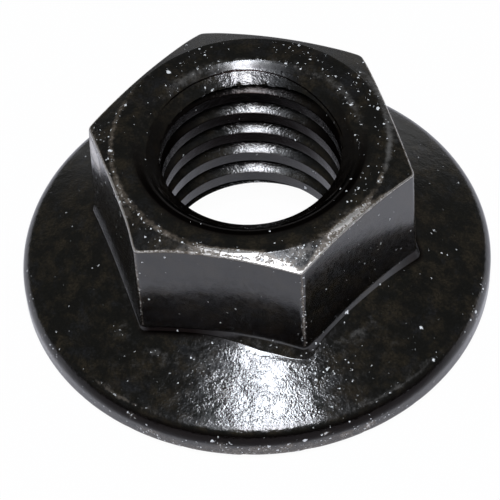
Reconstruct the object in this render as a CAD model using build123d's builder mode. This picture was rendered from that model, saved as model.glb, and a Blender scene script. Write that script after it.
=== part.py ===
from build123d import *
import os
from math import radians, tan

# Hexagon nut with a wide, coned flange that is serrated underneath, M10 x 1.5.
# Millimetres. The nut stands on its serrations: z = 0 is the plane that the tooth tips
# rest on, the thread's axis is Z, and one corner of the hexagon points along +X.

# Hexagon
across_flats = 14.0
nut_height = 10.0
corner_radius = 0.35
chamfer_circle = 13.4  # diameter at which the chamfer leaves the top face
chamfer_slope = 22.0  # degrees below the top face

# Flange
flange_diameter = 22.8
rim_height = 1.9  # from the bearing plane up to the edge where the cone starts
rim_bulge = 0.3  # how far the rim's band stands out past its two edges
rim_band = 0.6  # width of the band, halfway up the rim
cone_slope = 25.0  # degrees
foot_fillet = 0.5  # between the hexagon and the cone

# Underside
dish_diameter = 15.6  # inside this the underside rises towards the thread
dish_depth = 0.9

# Thread
thread_diameter = 10.0
thread_pitch = 1.5
thread_depth = 0.6
groove_flat = thread_pitch / 8  # width of the groove's flat bottom
flank_angle = 30.0  # degrees between a flank and the plane across the axis
groove_phase = -0.34  # height at which the groove's centre first passes the +X side
countersink_diameter = 10.7
countersink_angle = 105.0  # included

# Serrations
tooth_count = 24
tooth_depth = 0.42  # at the rim; the teeth run out towards the axis
tooth_land = 0.6  # degrees of flat left on each tip
steep_side = 1.2  # degrees of turn that the steep side of a tooth takes
first_tip = 7.5  # degrees from +X to the first tip

clearance = 1.0  # how far a cut reaches past the surface that it opens

# Worked out from the sizes above
flange_radius = flange_diameter / 2
rim_edge_radius = flange_radius - rim_bulge
cone_top_radius = across_flats / 4
cone_top_height = rim_height + (rim_edge_radius - cone_top_radius) * tan(radians(cone_slope))
minor_radius = thread_diameter / 2 - thread_depth
countersink_radius = countersink_diameter / 2
countersink_run = tan(radians(countersink_angle / 2))  # radius gained in each mm of depth
countersink_depth = (countersink_radius - minor_radius) / countersink_run
tooth_step = 360 / tooth_count

# The tap that cuts the thread: a plain core, and round it the ridge that leaves the groove.
with BuildPart() as tap:
    with BuildSketch(Plane.XY.offset(-nut_height / 2)):
        Circle(minor_radius)
    extrude(amount=2 * nut_height)

    with BuildLine() as ridge_path:
        ridge_start = (0, 0, groove_phase)
        Helix(thread_pitch, nut_height + clearance - groove_phase, minor_radius, center=ridge_start)
    across_path = Plane(ridge_path.line @ 0, x_dir=(1, 0, 0), z_dir=ridge_path.line % 0)
    with BuildSketch(across_path):
        ridge_foot = thread_depth / 4  # how far the ridge is sunk into the core
        ridge_width = groove_flat + 2 * (thread_depth + ridge_foot) * tan(radians(flank_angle))
        with BuildLine():
            Polyline(
                (thread_depth, groove_flat / 2),
                (thread_depth, -groove_flat / 2),
                (-ridge_foot, -ridge_width / 2),
                (-ridge_foot, ridge_width / 2),
                close=True,
            )
        make_face()
    sweep(is_frenet=True)

# One gap between two teeth. It is cut towards the point where the axis meets the bearing
# plane, so that every edge of a tooth is radial.
with BuildPart() as tooth_gap:
    gap_reach = flange_radius + clearance
    gap_depth = tooth_depth * gap_reach / flange_radius
    near_tip = gap_reach * tan(radians(tooth_land / 2))
    valley = gap_reach * tan(radians(tooth_land / 2 + steep_side))
    next_tip = gap_reach * tan(radians(tooth_step - tooth_land / 2))
    with BuildSketch(Plane.YZ.offset(gap_reach)):
        with BuildLine():
            Polyline((near_tip, 0), (valley, gap_depth), (next_tip, 0), close=True)
        make_face()
    extrude(amount=gap_reach, dir=(-gap_reach, -valley, -gap_depth))

with BuildPart() as nut:
    # The flange is a coned disc with a rim broken above and below, dished underneath.
    with BuildSketch(Plane.XZ):
        with BuildLine():
            Polyline(
                (0, dish_depth),
                (countersink_radius, dish_depth),
                (dish_diameter / 2, 0),
                (rim_edge_radius, 0),
                (flange_radius, rim_height / 2 - rim_band / 2),
                (flange_radius, rim_height / 2 + rim_band / 2),
                (rim_edge_radius, rim_height),
                (cone_top_radius, cone_top_height),
                (0, cone_top_height),
                close=True,
            )
        make_face()
    revolve(axis=Axis.Z)

    # The hexagon grows out of the cone, with a fillet all round its foot.
    with BuildSketch(Plane.XY.offset(rim_height)) as hexagon:
        RegularPolygon(across_flats / 2, 6, major_radius=False)
        fillet(hexagon.vertices(), corner_radius)
    extrude(amount=nut_height - rim_height)
    foot = nut.edges(Select.NEW).filter_by_position(Axis.Z, rim_height, nut_height - clearance)
    fillet(foot, foot_fillet)

    # The chamfer turns the top corners away.
    with BuildSketch(Plane.XZ):
        chamfer_drop = (flange_radius - chamfer_circle / 2) * tan(radians(chamfer_slope))
        with BuildLine():
            Polyline(
                (chamfer_circle / 2, nut_height),
                (flange_radius, nut_height - chamfer_drop),
                (flange_radius, nut_height + clearance),
                (chamfer_circle / 2, nut_height + clearance),
                close=True,
            )
        make_face()
    revolve(axis=Axis.Z, mode=Mode.SUBTRACT)

    # The serrations are ratchet teeth: the steep sides bite when the nut is turned back.
    with PolarLocations(0, tooth_count, start_angle=first_tip):
        add(tooth_gap.part, mode=Mode.SUBTRACT)

    # Both ends of the bore are countersunk before it is tapped.
    with BuildSketch(Plane.XZ):
        countersink_reach = countersink_radius + clearance * countersink_run
        for end_height, inward in ((dish_depth, 1), (nut_height, -1)):
            with BuildLine():
                Polyline(
                    (0, end_height - inward * clearance),
                    (countersink_reach, end_height - inward * clearance),
                    (minor_radius, end_height + inward * countersink_depth),
                    (0, end_height + inward * countersink_depth),
                    close=True,
                )
            make_face()
    revolve(axis=Axis.Z, mode=Mode.SUBTRACT)
    add(tap.part, mode=Mode.SUBTRACT)

os.makedirs("parts", exist_ok=True)
nut.part.label = "flange_nut"
export_step(nut.part, "parts/flange_nut.step")
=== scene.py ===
"""Looks of a serrated flange nut: a blackened steel M10 nut with bright, rubbed corners.

Sizes in the classes are millimetres, as they stand on a drawing of the nut, and become metres
when a mesh is made. The thread's axis is Z, z = 0 is the plane that the serrations stand on,
and one corner of the hexagon points along +X. Angles about the axis are in degrees from +X,
counter-clockwise seen from above. A Span is a range over which something sets in or fades.
"""

import functools
import logging
import math
from dataclasses import dataclass, fields
from enum import Enum
from typing import Any, Sequence

import bpy
import numpy as np
from mathutils import Matrix, Vector

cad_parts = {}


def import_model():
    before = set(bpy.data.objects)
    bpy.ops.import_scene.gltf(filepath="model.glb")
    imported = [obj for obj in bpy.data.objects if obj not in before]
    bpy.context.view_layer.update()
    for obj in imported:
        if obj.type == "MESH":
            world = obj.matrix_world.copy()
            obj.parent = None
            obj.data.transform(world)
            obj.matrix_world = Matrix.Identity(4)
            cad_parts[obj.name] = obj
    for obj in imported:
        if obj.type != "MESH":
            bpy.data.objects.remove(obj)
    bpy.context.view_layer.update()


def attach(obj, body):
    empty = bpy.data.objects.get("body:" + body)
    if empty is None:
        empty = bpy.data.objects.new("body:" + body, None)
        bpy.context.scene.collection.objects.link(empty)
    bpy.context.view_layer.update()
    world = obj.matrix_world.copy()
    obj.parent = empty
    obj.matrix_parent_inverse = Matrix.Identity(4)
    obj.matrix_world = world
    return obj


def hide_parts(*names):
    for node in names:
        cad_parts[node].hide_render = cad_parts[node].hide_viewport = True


MM = 0.001
LARGEST_GUARD = 0.4  # of the length of a profile's run
LOG = logging.getLogger("flange_nut")

Colour = tuple[float, float, float]
Point = tuple[float, float]
Span = tuple[float, float]
Face = tuple[int, ...]
Socket = bpy.types.NodeSocket


class Layer(Enum):
    """The mesh's attributes, which the rules and the finish read by name."""

    TURN = "turn"
    LEAD = "lead"
    IN_BORE = "in_bore"
    UNDERSIDE = "underside"
    WEAR = "wear"
    CHIPS = "chips"
    GRAIN = "grain"
    # Painted shade: where the finish is made black so that it mirrors nothing.
    PAINTED_SHADE = "painted_shade"
    # Pale smears, partly painted sheen on the foot band and round the highlights.
    SMEAR_AND_SHEEN = "smear_and_sheen"
    DULL = "dull"


class Rise(Enum):
    """How a mapped number climbs between the ends of its range."""

    EASED = "SMOOTHSTEP"
    STRAIGHT = "LINEAR"


# --- Small tools ---


@dataclass(frozen=True)
class Noise:
    """A noise: its blotches to the millimetre, its octaves and the share of the finer ones."""

    scale: float
    detail: float = 2.0
    rough: float = 0.5


class NodeDesk:
    """Adds nodes to one tree, links them as they are added and lays them out in columns."""

    column = 6
    spacing = (180, -200)

    def __init__(self, tree: bpy.types.NodeTree) -> None:
        """Start on a shader or geometry tree."""
        self.tree = tree

    def add(self, kind: str, feeds: dict[Any, Any] | None = None,
            **settings: Any) -> bpy.types.Node:
        """Add a node.

        Args:
            kind: the node's type name.
            feeds: for inputs by name or number, a socket to link or a value to set.
            settings: the node's own properties.

        Returns:
            The new node.
        """
        across, down = divmod(len(self.tree.nodes), self.column)
        node = self.tree.nodes.new(kind)
        node.location = (self.spacing[0] * across, self.spacing[1] * down)
        for name, value in settings.items():
            setattr(node, name, value)
        for name, value in (feeds or {}).items():
            if isinstance(value, Socket):
                self.tree.links.new(value, node.inputs[name])
            else:
                node.inputs[name].default_value = value
        return node

    def math(self, operation: str, *values: Any, clamp: bool = False) -> Socket:
        """Add a Math node.

        Args:
            operation: the node's operation.
            values: sockets or numbers for its inputs.
            clamp: whether the result is kept within 0 and 1.

        Returns:
            The result's socket.
        """
        feeds = dict(enumerate(values))
        return self.add("ShaderNodeMath", feeds, operation=operation, use_clamp=clamp).outputs[0]

    def times(self, *values: Any) -> Socket:
        """Multiply sockets and numbers from left to right."""
        return functools.reduce(functools.partial(self.math, "MULTIPLY"), values)

    def most(self, *values: Any) -> Socket:
        """Find the largest of sockets and numbers."""
        return functools.reduce(functools.partial(self.math, "MAXIMUM"), values)

    def stir(self, noise: Any, amount: float, level: Any) -> Socket:
        """Make a level uneven by a noise that lies about a half."""
        return self.math("MULTIPLY_ADD", self.math("SUBTRACT", noise, 0.5), amount, level)

    def vector(self, operation: str, *values: Any, **others: Any) -> bpy.types.Node:
        """Add a Vector Math node.

        Args:
            operation: the node's operation.
            values: sockets or values for its first inputs.
            others: the same for inputs by name.

        Returns:
            The node.
        """
        feeds = {**dict(enumerate(values)), **others}
        return self.add("ShaderNodeVectorMath", feeds, operation=operation)

    def parts(self, vector: Any) -> Any:
        """Split a vector into the sockets of its three parts."""
        return self.add("ShaderNodeSeparateXYZ", {0: vector}).outputs

    def angle(self, parts: Any) -> Socket:
        """Find the angle about the axis, in degrees, of a place in parts."""
        return self.math("DEGREES", self.math("ARCTAN2", parts[1], parts[0]))

    def ramp(self, value: Any, low: Any, high: Any, to_low: float = 0.0,
             to_high: float = 1.0, rise: Rise = Rise.EASED) -> Socket:
        """Map a range of numbers on another, level outside it.

        Args:
            value: the socket to map.
            low: start of the range.
            high: end of the range.
            to_low: result at the start.
            to_high: result at the end.
            rise: how the result climbs.

        Returns:
            The mapped number's socket.
        """
        feeds = {0: value, 1: low, 2: high, 3: to_low, 4: to_high}
        return self.add("ShaderNodeMapRange", feeds, interpolation_type=rise.value).outputs[0]

    def fall(self, value: Any, low: Any, high: Any) -> Socket:
        """Fall from 1 to 0 over a range, level outside it."""
        return self.ramp(value, low, high, 1.0, 0.0)

    def noise(self, at: Any, kind: Noise, output: int = 0) -> Socket:
        """Add a noise.

        Args:
            at: the socket with the place, in millimetres.
            kind: the noise's sizes.
            output: 0 for its value, about 0.5 on average, and 1 for its colour.

        Returns:
            The output's socket.
        """
        feeds = {"Vector": at, "Scale": kind.scale, "Detail": kind.detail,
                 "Roughness": kind.rough}
        return self.add("ShaderNodeTexNoise", feeds).outputs[output]

    def blend(self, share: Any, first: Any, second: Any) -> Socket:
        """Mix two colours.

        Args:
            share: how much of the second.
            first: the first colour, or its socket.
            second: the second colour, or its socket.

        Returns:
            The mixed colour's socket.
        """
        ends = [c if isinstance(c, Socket) else (*c, 1.0) for c in (first, second)]
        feeds = {0: share, 6: ends[0], 7: ends[1]}
        return self.add("ShaderNodeMix", feeds, data_type="RGBA").outputs[2]


def new_material(name: str) -> tuple[bpy.types.Material, NodeDesk]:
    """Start an empty material.

    Args:
        name: the material's name.

    Returns:
        The material, and the desk for its nodes.
    """
    material = bpy.data.materials.new(name)
    material.use_nodes = True
    material.node_tree.nodes.clear()
    return material, NodeDesk(material.node_tree)


def smoothstep(low: Any, high: Any, value: Any) -> Any:
    """Rise from 0 at low to 1 at high, level at both ends.

    Args:
        low: value at which the result leaves 0.
        high: value at which the result reaches 1.
        value: the number or numbers to map.

    Returns:
        The mapped number or numbers.
    """
    t = np.clip((value - low) / (high - low), 0.0, 1.0)
    return t * t * (3.0 - 2.0 * t)


def fade(low: Any, high: Any, value: Any) -> Any:
    """Fall from 1 at low to 0 at high, level at both ends."""
    return 1 - smoothstep(low, high, value)


def polar(radius: float, angle: float) -> np.ndarray:
    """The point at a radius and an angle in degrees about the axis."""
    turn = math.radians(angle)
    return radius * np.array([math.cos(turn), math.sin(turn)])


def between(stations: Sequence[Any], angle: float) -> Any:
    """Read stations that stand round the nut in one direction.

    Args:
        stations: objects of one class, whose first field is their angle, in order.
        angle: the direction in degrees.

    Returns:
        The station that stands there, interpolated between its neighbours.
    """
    kind, at = type(stations[0]), [s.angle for s in stations]
    return kind(angle, *(
        float(np.interp(angle, at, [getattr(s, f.name) for s in stations], period=360))
        for f in fields(kind)[1:]
    ))


def layered(count: int, *values: Any) -> np.ndarray:
    """Set values side by side, in one row for each point.

    Args:
        count: how many points there are.
        values: numbers that hold for all points, or arrays with one for each.

    Returns:
        The rows.
    """
    return np.column_stack([np.broadcast_to(v, count) for v in values]).astype(float)


# --- Profiles ---


@dataclass(frozen=True)
class Edge:
    """How one corner of a profile is rounded, cut and worn.

    arc_steps cut the rounding, and run_steps the straight run that ends at it. A guard puts
    one more point at that distance from both ends of the run, which keeps shading and wear
    close to the corners.
    """

    radius: float = 0.0
    arc_steps: int = 3
    run_steps: int = 1
    wear: float = 0.0
    guard: float = 0.0

    def arc(self, before: np.ndarray, corner: np.ndarray, after: np.ndarray) -> list[np.ndarray]:
        """Round the corner.

        Args:
            before: the profile's corner before this one.
            corner: the corner itself.
            after: the corner after it.

        Returns:
            The rounding's points in order.
        """
        back, ahead = before - corner, after - corner
        back, ahead = back / np.linalg.norm(back), ahead / np.linalg.norm(ahead)
        half = math.acos(float(np.clip(back @ ahead, -1, 1))) / 2
        middle = (back + ahead) / np.linalg.norm(back + ahead)
        centre = corner + middle * self.radius / math.sin(half)
        reach = self.radius / math.tan(half)
        first, last = corner + back * reach - centre, corner + ahead * reach - centre
        sweep = math.pi - 2 * half
        points = []
        for k in range(self.arc_steps + 1):
            s = k / self.arc_steps
            share = math.sin((1 - s) * sweep), math.sin(s * sweep)
            points.append(centre + (first * share[0] + last * share[1]) / math.sin(sweep))
        return points

    def shares(self, length: float) -> list[float]:
        """Divide the run that ends at the corner.

        Args:
            length: the run's length.

        Returns:
            Shares of the run, from its first new point to 1 at its end.
        """
        shares = [k / self.run_steps for k in range(1, self.run_steps + 1)]
        if self.guard > 0:
            near = min(LARGEST_GUARD, self.guard / length)
            shares = sorted([*shares, near, 1 - near])
        return shares


def rounded_profile(corners: Sequence[tuple[Point, Edge]]) -> tuple[np.ndarray, np.ndarray]:
    """Round the corners of an open profile and divide its straight runs.

    Args:
        corners: the corners' places in order, and how each is made.

    Returns:
        The points as (radius, height) rows, and the wear at each.
    """
    places = [np.array(at) for at, _ in corners]
    points, wear = [places[0]], [corners[0][1].wear]
    for i, (_, edge) in enumerate(corners[1:], start=1):
        arc = [places[i]]
        if i < len(corners) - 1 and edge.radius > 0:
            arc = edge.arc(*places[i - 1:i + 2])
        start = points[-1]
        for share in edge.shares(float(np.linalg.norm(arc[0] - start))):
            points.append(start + (arc[0] - start) * share)
            wear.append(edge.wear if share == 1 else 0.0)
        points += arc[1:]
        wear += [edge.wear] * (len(arc) - 1)
    return np.array(points), np.array(wear)


# --- The parts of the nut's shape ---


@dataclass(frozen=True)
class Hexagon:
    """The nut's hexagon with its rounded corners and the chamfer on top.

    The wear of the upright corners fades over the corner band, and the corner fan holds the
    directions at which they are cut, in degrees from the corner.
    """

    across_flats: float = 14.0
    corner_radius: float = 0.35
    height: float = 10.0
    chamfer_circle: float = 13.42
    chamfer_slope: float = 22.0
    upper_edge: Edge = Edge(0.1, 3, 9, 0.32, 0.1)
    top_edge: Edge = Edge(0.6, 3, 6, 0.1, 0.07)
    corner_wear: float = 0.5
    corner_band: float = 0.085
    corner_fan: tuple[float, ...] = (-1.4, -0.9, -0.45, 0.0, 0.45, 0.9, 1.4)

    def drop(self, radius: float) -> float:
        """How far the chamfer has come down at a radius."""
        return (radius - self.chamfer_circle / 2) * math.tan(math.radians(self.chamfer_slope))

    def outline(self, angle: float) -> tuple[np.ndarray, np.ndarray, float]:
        """Find the outline's point that lies in one direction from the axis.

        Args:
            angle: direction in degrees.

        Returns:
            The point, the outward normal there, and the distance to the nearest corner,
            measured along the flat.
        """
        apothem = self.across_flats / 2
        flat_way = math.floor(angle / 60) * 60 + 30
        off = math.radians(angle - flat_way)
        half_side = apothem * math.tan(math.radians(30))
        arc_start = half_side - self.corner_radius * math.tan(math.radians(30))
        side = apothem * math.tan(abs(off))
        local, normal = np.array([apothem, math.copysign(side, off)]), np.array([1.0, 0.0])
        if side > arc_start:
            centre = np.array([apothem - self.corner_radius, math.copysign(arc_start, off)])
            away = math.hypot(*centre)
            lean = abs(off) - math.atan2(arc_start, centre[0])
            chord = math.sqrt(self.corner_radius**2 - (away * math.sin(lean)) ** 2)
            reach = away * math.cos(lean) + chord
            local = reach * np.array([math.cos(off), math.sin(off)])
            normal = (local - centre) / self.corner_radius
        turn = math.radians(flat_way)
        spin = np.array([[math.cos(turn), -math.sin(turn)], [math.sin(turn), math.cos(turn)]])
        return spin @ local, spin @ normal, max(0.0, half_side - side)


@dataclass(frozen=True)
class FootBand:
    """The sloped band at the hexagon's foot in one direction.

    The height is that of its upper edge over the cone, the lean is degrees from upright,
    and painted shade darkens the band while smears and painted sheen lighten it.
    """

    angle: float
    height: float
    lean: float
    # The band's painted shade, then its smears and painted sheen.
    painted_shade: float
    smear_and_sheen: float


@dataclass(frozen=True)
class Flange:
    """The coned flange below the hexagon, dished underneath.

    The foot's run is how far its profile is carried on past both edges of the band, and its
    passes are the tries at finding where the band meets the cone.
    """

    diameter: float = 23.08
    rim_height: float = 1.94
    rim_edge: float = 0.41
    rim_foot: Point = (0.07, 0.4)
    bearing_edge: float = 0.36
    cone_slope: float = 25.3
    dish_diameter: float = 15.6
    dish_depth: float = 0.9
    lower_lip: Edge = Edge(0.1, 2, 2, 0.1)
    bearing_inner: Edge = Edge(0.8, 3, 4, 0.05)
    bearing_outer: Edge = Edge(0.12, 3, 5, 0.2, 0.12)
    rim_lower: Edge = Edge(0.3, 4, 1, 0.3)
    rim_shoulder: Edge = Edge(0.87, 10, 3, 0.04, 0.12)
    foot_lower: Edge = Edge(0.1)
    foot_upper: Edge = Edge(0.3)
    foot_run: float = 0.4
    foot_passes: int = 30
    cone_steps: int = 13
    # Angle, height, lean, painted shade, and smears with painted sheen.
    foot: tuple[FootBand, ...] = tuple(FootBand(*row) for row in (
        (0.0, 0.4, 19.0, 0.8, 0.0), (60.0, 0.4, 17.0, 0.4, 0.0), (120.0, 0.4, 17.0, 0.4, 0.0),
        (180.0, 0.28, 17.0, 0.3, 0.0), (225.0, 0.26, 18.0, 0.1, 0.3),
        (239.0, 0.2, 18.0, 0.3, 0.1), (242.0, 0.17, 18.0, 0.97, 0.0),
        (258.0, 0.2, 19.0, 0.97, 0.0), (264.0, 0.22, 20.0, 0.8, 0.1),
        (275.0, 0.3, 28.0, 0.3, 0.2), (285.0, 0.31, 38.0, 0.0, 0.25),
        (296.0, 0.33, 38.0, 0.0, 0.2), (301.0, 0.34, 30.0, 0.3, 0.2),
        (308.0, 0.22, 22.0, 0.3, 0.1), (318.0, 0.24, 17.0, 0.0, 0.1),
        (345.0, 0.3, 18.0, 0.0, 0.0), (355.0, 0.38, 19.0, 0.7, 0.0),
    ))

    @property
    def edge_radius(self) -> float:
        """Radius at which the cone starts."""
        return self.diameter / 2 - self.rim_edge

    def cone_height(self, radius: float) -> float:
        """Height of the cone at a radius, carried on inwards past the hexagon."""
        rise = math.tan(math.radians(self.cone_slope))
        return self.rim_height + (self.edge_radius - radius) * rise


@dataclass(frozen=True)
class Bore:
    """The threaded bore and the countersinks at its ends.

    Rows are the cuts across half a pitch, as shares of the pitch from the middle of a
    groove. Above the pressed heights the groove is shut, between the directions given.
    """

    diameter: float = 10.0
    pitch: float = 1.5
    depth: float = 0.6
    root_flat: float = 0.1875
    flank_angle: float = 30.0
    phase: float = -0.34
    countersink: float = 10.7
    countersink_angle: float = 105.0
    lip: Edge = Edge(0.45, 5, 5, 0.12, 0.12)
    seam: Edge = Edge(run_steps=2)
    seam_radius: float = 5.04
    run_out: float = 0.06
    pressed: Span = (9.02, 9.24)
    pressed_from: Span = (50.0, 90.0)
    pressed_to: Span = (250.0, 330.0)
    rows: tuple[float, ...] = (0.0, 0.05, 0.08, 0.12, 0.18, 0.24, 0.275, 0.3, 0.33, 0.4, 0.5)

    @property
    def crest_radius(self) -> float:
        """Radius of the thread's crests."""
        return self.diameter / 2 - self.depth

    @property
    def gain(self) -> float:
        """Radius that a countersink gains in each millimetre of height."""
        return math.tan(math.radians(self.countersink_angle / 2))

    @property
    def seam_drop(self) -> float:
        """Depth below a countersink's edge at which bore and shell are joined."""
        return (self.countersink / 2 - self.seam_radius) / self.gain

    @property
    def flank_run(self) -> float:
        """Height that a flank takes."""
        return self.depth * math.tan(math.radians(self.flank_angle))

    def cycle(self) -> np.ndarray:
        """Rows of one pitch as shares of it, from the middle of a groove to the next."""
        half = np.array(self.rows)
        return np.concatenate([half, 1 - half[-2:0:-1]])

    def height(self, lead: Any, turn: Any) -> Any:
        """Height of a place on the thread."""
        return self.pitch * (lead + turn) + self.phase

    def off_root(self, lead: np.ndarray) -> np.ndarray:
        """Distance along the axis from the middle of the groove."""
        return np.abs(lead - np.round(lead)) * self.pitch

    def thread_radius(self, lead: np.ndarray, turn: float) -> np.ndarray:
        """Radius of the thread's surface at one column.

        Args:
            lead: pitches from the middle of a groove.
            turn: the column's turn.

        Returns:
            The radii.
        """
        opening = self.root_flat / 2 + self.flank_run
        share = np.clip((opening - self.off_root(lead)) / self.flank_run, 0, 1)
        side = smoothstep(*self.pressed_from, turn * 360) * fade(*self.pressed_to, turn * 360)
        shut = smoothstep(*self.pressed, self.height(lead, turn)) * side
        return self.crest_radius + self.depth * share * (1 - shut)


@dataclass(frozen=True)
class Serration:
    """The ratchet teeth under the flange, with the land and the steep side in degrees.

    They are cut outside the inner radius, in what lies no more than a margin higher than
    they are deep.
    """

    count: int = 24
    depth: float = 0.42
    land: float = 0.6
    steep: float = 1.2
    first_tip: float = 7.5
    ramp_columns: int = 12
    inner_radius: float = 6.0
    margin: float = 0.02

    def directions(self) -> list[float]:
        """Find where columns have to stand so that the teeth are crisp.

        Returns:
            The columns' directions in degrees, tooth by tooth.
        """
        step, half_land = 360 / self.count, self.land / 2
        valley = half_land + self.steep
        tooth = [-half_land, half_land, (half_land + valley) / 2]
        tooth += list(np.linspace(valley, step - half_land, self.ramp_columns)[:-1])
        tips = [self.first_tip + k * step for k in range(self.count)]
        return [(tip + off) % 360 for tip in tips for off in tooth]

    def under(self, points: np.ndarray) -> np.ndarray:
        """Whether points lie where the teeth are cut."""
        low = points[:, 2] < self.depth + self.margin
        return low & (np.hypot(*points[:, :2].T) > self.inner_radius)


@dataclass(frozen=True)
class Spot:
    """A place on the nut, as an angle, a radius and a height, and how far it is felt.

    The reach is in degrees along the turn, and in millimetres along radius and height.
    """

    angle: float
    radius: float
    height: float
    reach: tuple[float, float, float]

    def share(self, points: np.ndarray) -> np.ndarray:
        """Find how strongly the place is felt.

        Args:
            points: the points at which to find it.

        Returns:
            Shares from 0, far off, to 1, at the place.
        """
        turn = np.degrees(np.arctan2(points[:, 1], points[:, 0]))
        turn = (turn - self.angle + 180) % 360 - 180
        away = np.hypot(points[:, 0], points[:, 1]) - self.radius
        return np.exp(-((turn / self.reach[0]) ** 2 + (away / self.reach[1]) ** 2
                        + ((points[:, 2] - self.height) / self.reach[2]) ** 2))


@dataclass(frozen=True)
class Dent(Spot):
    """A place where the metal is moved, outwards and up, by the push."""

    push: Point


@dataclass(frozen=True)
class Rub(Spot):
    """A place where the finish is rubbed or chipped, or carries smears and painted sheen."""

    wear: float
    chips: float = 0.0
    smear_and_sheen: float = 0.0


@dataclass(frozen=True)
class EdgeWear:
    """How the hexagon's upper edge is worn in one direction: a band's width and its strength."""

    angle: float
    width: float
    strength: float


@dataclass(frozen=True)
class Dullness:
    """Roughness of the finish on each zone of the nut."""

    rim: float = 0.16
    cone: float = 0.13
    foot: float = 0.18
    flat: float = 0.14
    chamfer: float = 0.26
    top: float = 0.16
    lip: float = 0.2
    bore: float = 0.16


@dataclass(frozen=True)
class Crinkle:
    """Strength of the finish's crinkle on each zone, and what is added on the cone in front."""

    top: float = 0.25
    flat: float = 0.08
    cone: float = 0.4
    bore: float = 0.55
    front: Spot = Spot(279.0, 9.6, 2.6, (17.0, 2.6, 1.5))
    more_in_front: float = 0.33

    def strengthened(self, points: np.ndarray, grain: np.ndarray) -> np.ndarray:
        """Strengthen the crinkle of the cone in front."""
        return grain + self.front.share(points) * self.more_in_front * (grain == self.cone)


@dataclass(frozen=True)
class PaintedShade:
    """Painted shade: where the finish is made black and metallic, so that it mirrors nothing and
    stands in for shade.

    Rises and falls of the rim, the flats and the bore are heights, except the bore's far and
    lit sides, which are directions. High in the bore, lit_shifts are added to the four ends
    of the lit side. Facing is a cosine of the angle from the front.
    """

    front: float = 285.0
    rim: float = 0.85
    rim_depth: float = 0.3
    rim_rise: Span = (1.0, 1.2)
    rim_fall: Span = (1.65, 1.85)
    rim_facing: Span = (0.2, 0.8)
    flat: float = 0.45
    flat_fall: Span = (4.4, 6.2)
    lip: float = 0.97
    upper_facing: Span = (-0.3, 0.5)
    far_rise: Span = (-15.0, 40.0)
    far_fall: Span = (165.0, 200.0)
    crest_edge: float = 0.03
    least_crest: float = 0.25
    crest_rise: Span = (4.3, 5.2)
    crest_fall: Span = (9.2, 9.27)
    strip: float = 0.8
    strip_rise: Span = (8.45, 8.7)
    strip_fall: Span = (9.16, 9.24)
    high_rise: Span = (6.2, 6.8)
    high_fall: Span = (8.5, 9.0)
    lit_rise: Span = (15.0, 60.0)
    lit_fall: Span = (145.0, 190.0)
    lit_shifts: tuple[float, float, float, float] = (25.0, 25.0, -20.0, -25.0)
    side: float = 0.6
    more_side_above: float = 0.38

    def facing(self, angle: float, span: Span) -> float:
        """How fully a direction faces the front."""
        return smoothstep(*span, math.cos(math.radians(angle - self.front)))

    def on_rim(self, angle: float, low: np.ndarray, cone_edge: float) -> np.ndarray:
        """Painted shade on the rim's upright band, towards the front.

        Args:
            angle: the column's direction in degrees.
            low: the (radius, height) points of the flange.
            cone_edge: radius at which the cone starts.

        Returns:
            The painted shade at each point.
        """
        wall = smoothstep(*self.rim_rise, low[:, 1]) * fade(*self.rim_fall, low[:, 1])
        outside = low[:, 0] > cone_edge - self.rim_depth
        return wall * outside * self.facing(angle, self.rim_facing) * self.rim

    def above_foot(self, angle: float, height: np.ndarray, on_flat: np.ndarray,
                   lip: np.ndarray) -> np.ndarray:
        """Painted shade low on the flats and on the countersink's lip.

        Args:
            angle: the column's direction in degrees.
            height: the points' heights.
            on_flat: whether they lie on a flat.
            lip: how fully they lie on the lip.

        Returns:
            The painted shade at each point.
        """
        low = on_flat * fade(*self.flat_fall, height) * self.flat
        return np.maximum(lip * self.lip, low) * self.facing(angle, self.upper_facing)

    def in_bore(self, bore: Bore, turn: np.ndarray, lead: np.ndarray) -> np.ndarray:
        """Painted shade in the bore: on the upper crests of the far side, on a strip high on the
        far side, and on the sides away from the lit span.

        Args:
            bore: the bore's sizes.
            turn: the bore vertices' turns.
            lead: their leads.

        Returns:
            The painted shade at each vertex.
        """
        height, angle = bore.height(lead, turn), turn * 360
        opening = bore.root_flat / 2 + bore.flank_run
        far = smoothstep(*self.far_rise, angle) * fade(*self.far_fall, angle)
        crest = smoothstep(opening - self.crest_edge, opening, bore.off_root(lead))
        upper = smoothstep(*self.crest_rise, height) * (1 - self.least_crest)
        crest = crest * far * fade(*self.crest_fall, height) * (self.least_crest + upper)
        high = smoothstep(*self.high_rise, height) * fade(*self.high_fall, height)
        edges = [a + shift * high
                 for a, shift in zip((*self.lit_rise, *self.lit_fall), self.lit_shifts)]
        lit = smoothstep(*edges[:2], angle) * fade(*edges[2:], angle)
        side = (1 - lit) * (self.side + self.more_side_above * high)
        strip = smoothstep(*self.strip_rise, height) * fade(*self.strip_fall, height) * far
        return np.maximum(np.maximum(crest, strip * self.strip), side)


# --- Geometry Nodes ---


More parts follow.
